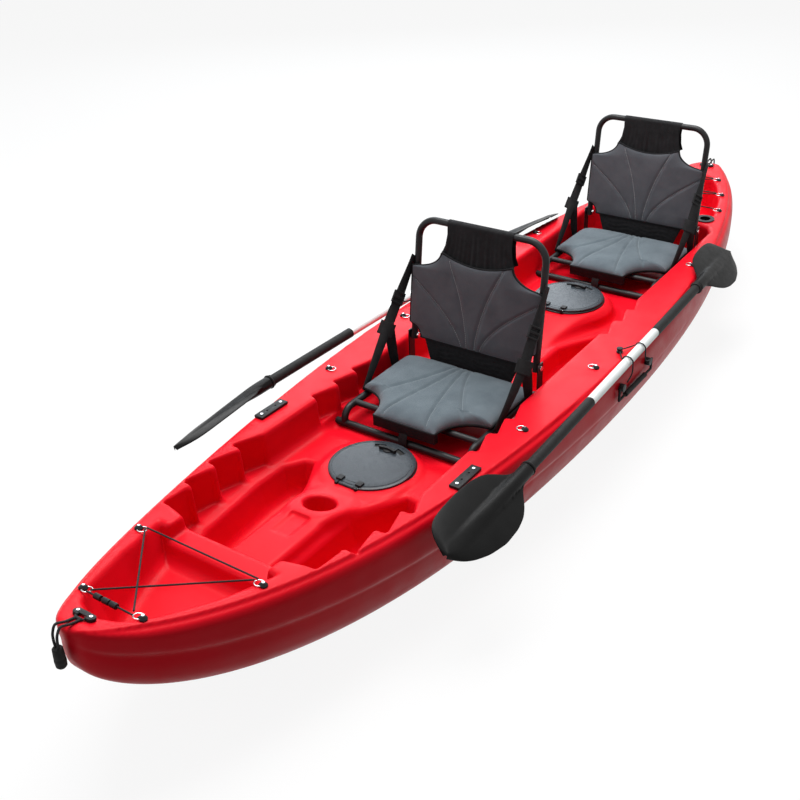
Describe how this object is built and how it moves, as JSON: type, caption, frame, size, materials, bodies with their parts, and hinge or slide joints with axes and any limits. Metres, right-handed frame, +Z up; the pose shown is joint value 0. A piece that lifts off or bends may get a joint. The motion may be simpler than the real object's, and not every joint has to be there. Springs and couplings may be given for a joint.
{
  "type": "tandem kayak",
  "caption": "Sit-on-top tandem kayak with folding framed seats, hinged round hatches, deck bungees, carry handles and stowed take-apart paddles.",
  "frame": {"origin": "on the flat keel underside at mid-length and mid-beam", "axes": "+X towards the bow, +Y towards port, +Z up"},
  "size_m": [3.758, 1.0552, 0.7249],
  "materials": {
    "hull": "satin",
    "deck": "satin",
    "hatch": "gloss",
    "seal": "matte",
    "steel": "polished",
    "cord": "matte",
    "tube": "satin",
    "seat_fabric": "matte",
    "back_fabric": "matte",
    "mesh_fabric": "matte",
    "webbing": "matte",
    "shaft": "satin",
    "sleeve": "matte",
    "blade": "satin",
    "grip": "matte",
    "fitting": "satin"
  },
  "bodies": {
    "hull": {"hull_pan": "hull", "deck": "deck", "scupper_tubes": "hull", "drain_plug": "fitting", "hatch_rims": "fitting", "hatch_seals": "seal", "hinge_pins": "steel", "pad_eyes": "fitting", "pad_eye_rings": "steel", "deck_screws": "steel", "bow_bungee": "cord", "stern_bungee": "cord", "bungee_locks": "fitting", "end_plates": "fitting", "rod_holders": "fitting", "gear_plates": "fitting", "handle_anchors": "fitting", "keeper_buttons": "fitting", "port_keeper": "cord", "starboard_keeper": "cord", "front_seat_frame": "tube", "rear_seat_frame": "tube", "seat_bar_caps": "fitting", "front_seat_pad": "seat_fabric", "rear_seat_pad": "seat_fabric", "front_straps": "webbing", "rear_straps": "webbing", "strap_buckles": "fitting"},
    "front_backrest": {"front_back_frame": "tube", "front_back_pad": "back_fabric", "front_back_neck": "mesh_fabric"},
    "rear_backrest": {"rear_back_frame": "tube", "rear_back_pad": "back_fabric", "rear_back_neck": "mesh_fabric"},
    "front_lid": {"front_hatch_lid": "hatch"},
    "front_latch": {"front_hatch_latch": "fitting"},
    "mid_lid": {"mid_hatch_lid": "hatch"},
    "mid_latch": {"mid_hatch_latch": "fitting"},
    "bow_handle": {"bow_handle_cord": "cord", "bow_toggle": "fitting"},
    "stern_handle": {"stern_handle_cord": "cord", "stern_toggle": "fitting"},
    "port_grip": {"port_handle": "grip"},
    "starboard_grip": {"starboard_handle": "grip"},
    "port_paddle": {"port_front_shaft": "shaft", "port_front_sleeve": "sleeve", "port_front_blade": "blade", "port_front_ring": "seal"},
    "port_paddle_rear": {"port_rear_shaft": "shaft", "port_rear_sleeve": "sleeve", "port_rear_blade": "blade", "port_rear_ring": "seal"},
    "starboard_paddle": {"starboard_front_shaft": "shaft", "starboard_front_sleeve": "sleeve", "starboard_front_blade": "blade", "starboard_front_ring": "seal"},
    "starboard_paddle_rear": {"starboard_rear_shaft": "shaft", "starboard_rear_sleeve": "sleeve", "starboard_rear_blade": "blade", "starboard_rear_ring": "seal"}
  },
  "joints": [
    {"name": "front_back_fold", "type": "hinge", "parent": "hull", "child": "front_backrest", "pos_m": [0.222, 0, 0.328], "axis": [0, 1, 0], "range_deg": [0, 92], "deforming": ["front_straps"]},
    {"name": "rear_back_fold", "type": "hinge", "parent": "hull", "child": "rear_backrest", "pos_m": [-1.068, 0, 0.328], "axis": [0, 1, 0], "range_deg": [0, 92], "deforming": ["rear_straps"]},
    {"name": "front_hatch_open", "type": "hinge", "parent": "hull", "child": "front_lid", "pos_m": [0.899, 0, 0.211], "axis": [0, 1, 0], "range_deg": [0, 110]},
    {"name": "front_latch_turn", "type": "hinge", "parent": "front_lid", "child": "front_latch", "pos_m": [0.698, 0, 0.216], "axis": [0, 0, -1], "range_deg": [0, 90]},
    {"name": "mid_hatch_open", "type": "hinge", "parent": "hull", "child": "mid_lid", "pos_m": [-0.324, 0, 0.246], "axis": [0, 1, 0], "range_deg": [0, 110]},
    {"name": "mid_latch_turn", "type": "hinge", "parent": "mid_lid", "child": "mid_latch", "pos_m": [-0.525, 0, 0.251], "axis": [0, 0, -1], "range_deg": [0, 90]},
    {"name": "bow_handle_swing", "type": "hinge", "parent": "hull", "child": "bow_handle", "pos_m": [1.803, 0, 0.415], "axis": [0, -1, 0], "range_deg": [0, 100]},
    {"name": "stern_handle_swing", "type": "hinge", "parent": "hull", "child": "stern_handle", "pos_m": [-1.803, 0, 0.35169], "axis": [0, 1, 0], "range_deg": [0, 100]},
    {"name": "port_handle_swing", "type": "hinge", "parent": "hull", "child": "port_grip", "pos_m": [-0.042, 0.43889, 0.24], "axis": [1, 0, 0], "range_deg": [0, 100]},
    {"name": "starboard_handle_swing", "type": "hinge", "parent": "hull", "child": "starboard_grip", "pos_m": [-0.042, -0.43889, 0.24], "axis": [-1, 0, 0], "range_deg": [0, 100]},
    {"name": "port_paddle_lift", "type": "slide", "parent": "hull", "child": "port_paddle", "axis": [0, 0, 1], "range_m": [0, 0.3], "deforming": ["port_keeper"]},
    {"name": "port_paddle_feather", "type": "hinge", "parent": "port_paddle", "child": "port_paddle_rear", "pos_m": [0.035, 0.428, 0.3055], "axis": [-0.9995, -0.0314, 0], "range_deg": [0, 60]},
    {"name": "starboard_paddle_lift", "type": "slide", "parent": "hull", "child": "starboard_paddle", "axis": [0, 0, 1], "range_m": [0, 0.3], "deforming": ["starboard_keeper"]},
    {"name": "starboard_paddle_feather", "type": "hinge", "parent": "starboard_paddle", "child": "starboard_paddle_rear", "pos_m": [0.035, -0.428, 0.3055], "axis": [0.9995, -0.0314, 0], "range_deg": [0, 60]}
  ]
}
